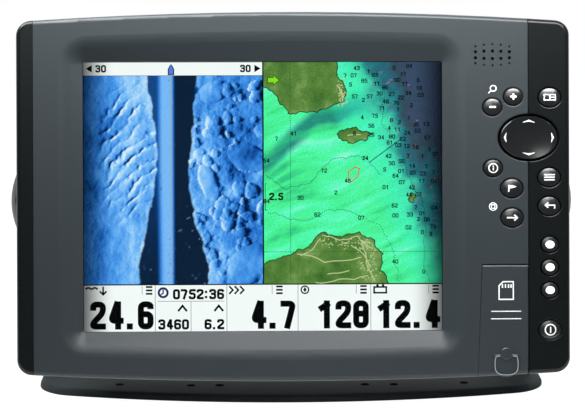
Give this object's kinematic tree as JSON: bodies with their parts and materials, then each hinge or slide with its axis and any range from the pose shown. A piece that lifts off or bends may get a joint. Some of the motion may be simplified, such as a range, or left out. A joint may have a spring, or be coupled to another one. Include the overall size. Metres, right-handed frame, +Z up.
{
  "type": "fish finder",
  "caption": "Bracket-mounted marine sonar and chart display: wide screen, key column, rocker pad and latched card door, leaning on a knob-tightened gimbal.",
  "frame": {"origin": "on the underside of the base plate, straight below the tilt axis, midway between the arms", "axes": "+X to the viewer's right along the tilt axis, +Y back away from the viewer, +Z up"},
  "size_m": [0.3446, 0.1364, 0.2363],
  "materials": {
    "bracket_nylon": "moulded glass-filled nylon",
    "bezel_abs": "fine moulded satin",
    "cover_gloss": "smooth satin-gloss",
    "housing_abs": "fine moulded matt",
    "key_gloss": "polished",
    "knob_nylon": "moulded satin",
    "window_glass": "clear",
    "panel_glass": "lit display",
    "guide_acrylic": "frosted",
    "tray_plastic": "moulded white",
    "sheet_steel": "plated sheet",
    "circuit": "solder resist",
    "chip_black": "moulded epoxy",
    "sink_aluminium": "extruded",
    "seal_rubber": "soft matt",
    "ribbon_film": "flexible film",
    "speaker_black": "pressed basket",
    "stainless": "stainless",
    "insert_brass": "turned",
    "socket_nickel": "plated",
    "socket_insert": "moulded"
  },
  "bodies": {
    "mount": {"gimbal_bracket": "bracket_nylon"},
    "head": {"backlight_tray": "tray_plastic", "board_chips": "chip_black", "board_screws": "stainless", "card_bay": "housing_abs", "card_reader": "sheet_steel", "chassis_screws": "stainless", "connector_inserts": "socket_insert", "connector_nuts": "socket_nickel", "connector_shells": "socket_nickel", "display_chassis": "sheet_steel", "display_gasket": "seal_rubber", "display_window": "window_glass", "door_hinge_pin": "stainless", "door_seal": "seal_rubber", "friction_washer_left": "seal_rubber", "friction_washer_right": "seal_rubber", "front_bezel": "bezel_abs", "heat_sink": "sink_aluminium", "housing_gasket": "seal_rubber", "housing_screws": "stainless", "key_board": "circuit", "key_board_screws": "stainless", "key_switches": "chip_black", "keypad_membrane": "seal_rubber", "keypad_ribbon": "ribbon_film", "lcd_panel": "panel_glass", "left_side_cover": "cover_gloss", "light_guide": "guide_acrylic", "main_board": "circuit", "pivot_insert_left": "insert_brass", "pivot_insert_right": "insert_brass", "rear_housing": "housing_abs", "right_side_cover": "cover_gloss", "speaker": "speaker_black"},
    "left_knob_travel": {"knob_washer_left": "stainless"},
    "left_knob_turning": {"left_knob": "knob_nylon", "knob_stud_left": "stainless"},
    "right_knob_travel": {"knob_washer_right": "stainless"},
    "right_knob_turning": {"right_knob": "knob_nylon", "knob_stud_right": "stainless"},
    "door": {"card_door": "bezel_abs"},
    "latch": {"door_latch": "bezel_abs"},
    "zoom_in_button": {"zoom_in_key": "key_gloss"},
    "zoom_out_button": {"zoom_out_key": "key_gloss"},
    "info_button": {"info_key": "key_gloss"},
    "mark_button": {"mark_key": "key_gloss"},
    "goto_button": {"goto_key": "key_gloss"},
    "view_button": {"view_key": "key_gloss"},
    "menu_button": {"menu_key": "key_gloss"},
    "exit_button": {"exit_key": "key_gloss"},
    "preset_1_button": {"preset_1_key": "key_gloss"},
    "preset_2_button": {"preset_2_key": "key_gloss"},
    "preset_3_button": {"preset_3_key": "key_gloss"},
    "power_button": {"power_key": "key_gloss"},
    "pad_post": {"cursor_pad_post": "seal_rubber"},
    "pad": {"cursor_pad": "key_gloss"}
  },
  "joints": [
    {"name": "head_tilt", "type": "hinge", "parent": "mount", "child": "head", "pos_m": [0, 0, 0.1178], "axis": [-1, 0, 0], "range_deg": [-14, 35]},
    {"name": "left_knob_slide", "type": "slide", "parent": "head", "child": "left_knob_travel", "axis": [-1, 0, 0], "range_m": [0, 0.0025]},
    {"name": "left_knob_turn", "type": "hinge", "parent": "left_knob_travel", "child": "left_knob_turning", "pos_m": [-0.16, 0, 0.1178], "axis": [-1, 0, 0], "range_deg": [0, 720]},
    {"name": "right_knob_slide", "type": "slide", "parent": "head", "child": "right_knob_travel", "axis": [1, 0, 0], "range_m": [0, 0.0025]},
    {"name": "right_knob_turn", "type": "hinge", "parent": "right_knob_travel", "child": "right_knob_turning", "pos_m": [0.16, 0, 0.1178], "axis": [1, 0, 0], "range_deg": [0, 720]},
    {"name": "door_hinge", "type": "hinge", "parent": "head", "child": "door", "pos_m": [0.123, -0.06241, 0.08809], "axis": [-1, 0, 0], "range_deg": [0, 95]},
    {"name": "latch_turn", "type": "hinge", "parent": "door", "child": "latch", "pos_m": [0.1245, -0.07141, 0.03819], "axis": [0, 0.9848, -0.1736], "range_deg": [0, 90]},
    {"name": "zoom_in_press", "type": "slide", "parent": "head", "child": "zoom_in_button", "axis": [0, 0.9848, -0.1736], "range_m": [0, 0.001], "stiffness_N_per_m": 1500, "springref_m": -0.0004},
    {"name": "zoom_out_press", "type": "slide", "parent": "head", "child": "zoom_out_button", "axis": [0, 0.9848, -0.1736], "range_m": [0, 0.001], "stiffness_N_per_m": 1500, "springref_m": -0.0004},
    {"name": "info_press", "type": "slide", "parent": "head", "child": "info_button", "axis": [0, 0.9848, -0.1736], "range_m": [0, 0.001], "stiffness_N_per_m": 1500, "springref_m": -0.0004},
    {"name": "mark_press", "type": "slide", "parent": "head", "child": "mark_button", "axis": [0, 0.9848, -0.1736], "range_m": [0, 0.001], "stiffness_N_per_m": 1500, "springref_m": -0.0004},
    {"name": "goto_press", "type": "slide", "parent": "head", "child": "goto_button", "axis": [0, 0.9848, -0.1736], "range_m": [0, 0.001], "stiffness_N_per_m": 1500, "springref_m": -0.0004},
    {"name": "view_press", "type": "slide", "parent": "head", "child": "view_button", "axis": [0, 0.9848, -0.1736], "range_m": [0, 0.001], "stiffness_N_per_m": 1500, "springref_m": -0.0004},
    {"name": "menu_press", "type": "slide", "parent": "head", "child": "menu_button", "axis": [0, 0.9848, -0.1736], "range_m": [0, 0.001], "stiffness_N_per_m": 1500, "springref_m": -0.0004},
    {"name": "exit_press", "type": "slide", "parent": "head", "child": "exit_button", "axis": [0, 0.9848, -0.1736], "range_m": [0, 0.001], "stiffness_N_per_m": 1500, "springref_m": -0.0004},
    {"name": "preset_1_press", "type": "slide", "parent": "head", "child": "preset_1_button", "axis": [0, 0.9848, -0.1736], "range_m": [0, 0.001], "stiffness_N_per_m": 1500, "springref_m": -0.0004},
    {"name": "preset_2_press", "type": "slide", "parent": "head", "child": "preset_2_button", "axis": [0, 0.9848, -0.1736], "range_m": [0, 0.001], "stiffness_N_per_m": 1500, "springref_m": -0.0004},
    {"name": "preset_3_press", "type": "slide", "parent": "head", "child": "preset_3_button", "axis": [0, 0.9848, -0.1736], "range_m": [0, 0.001], "stiffness_N_per_m": 1500, "springref_m": -0.0004},
    {"name": "power_press", "type": "slide", "parent": "head", "child": "power_button", "axis": [0, 0.9848, -0.1736], "range_m": [0, 0.001], "stiffness_N_per_m": 1500, "springref_m": -0.0004},
    {"name": "pad_rock_up_down", "type": "hinge", "parent": "head", "child": "pad_post", "pos_m": [0.1381, -0.04346, 0.16212], "axis": [1, 0, 0], "range_deg": [-3, 3], "stiffness_Nm_per_rad": 0.4},
    {"name": "pad_rock_left_right", "type": "hinge", "parent": "pad_post", "child": "pad", "pos_m": [0.1381, -0.04346, 0.16212], "axis": [0, 0.1736, 0.9848], "range_deg": [-3, 3], "stiffness_Nm_per_rad": 0.4}
  ],
  "couplings": [
    {"joint": "left_knob_turn", "follows": "left_knob_slide", "rad_per_m": 5026.5},
    {"joint": "right_knob_turn", "follows": "right_knob_slide", "rad_per_m": 5026.5}
  ]
}
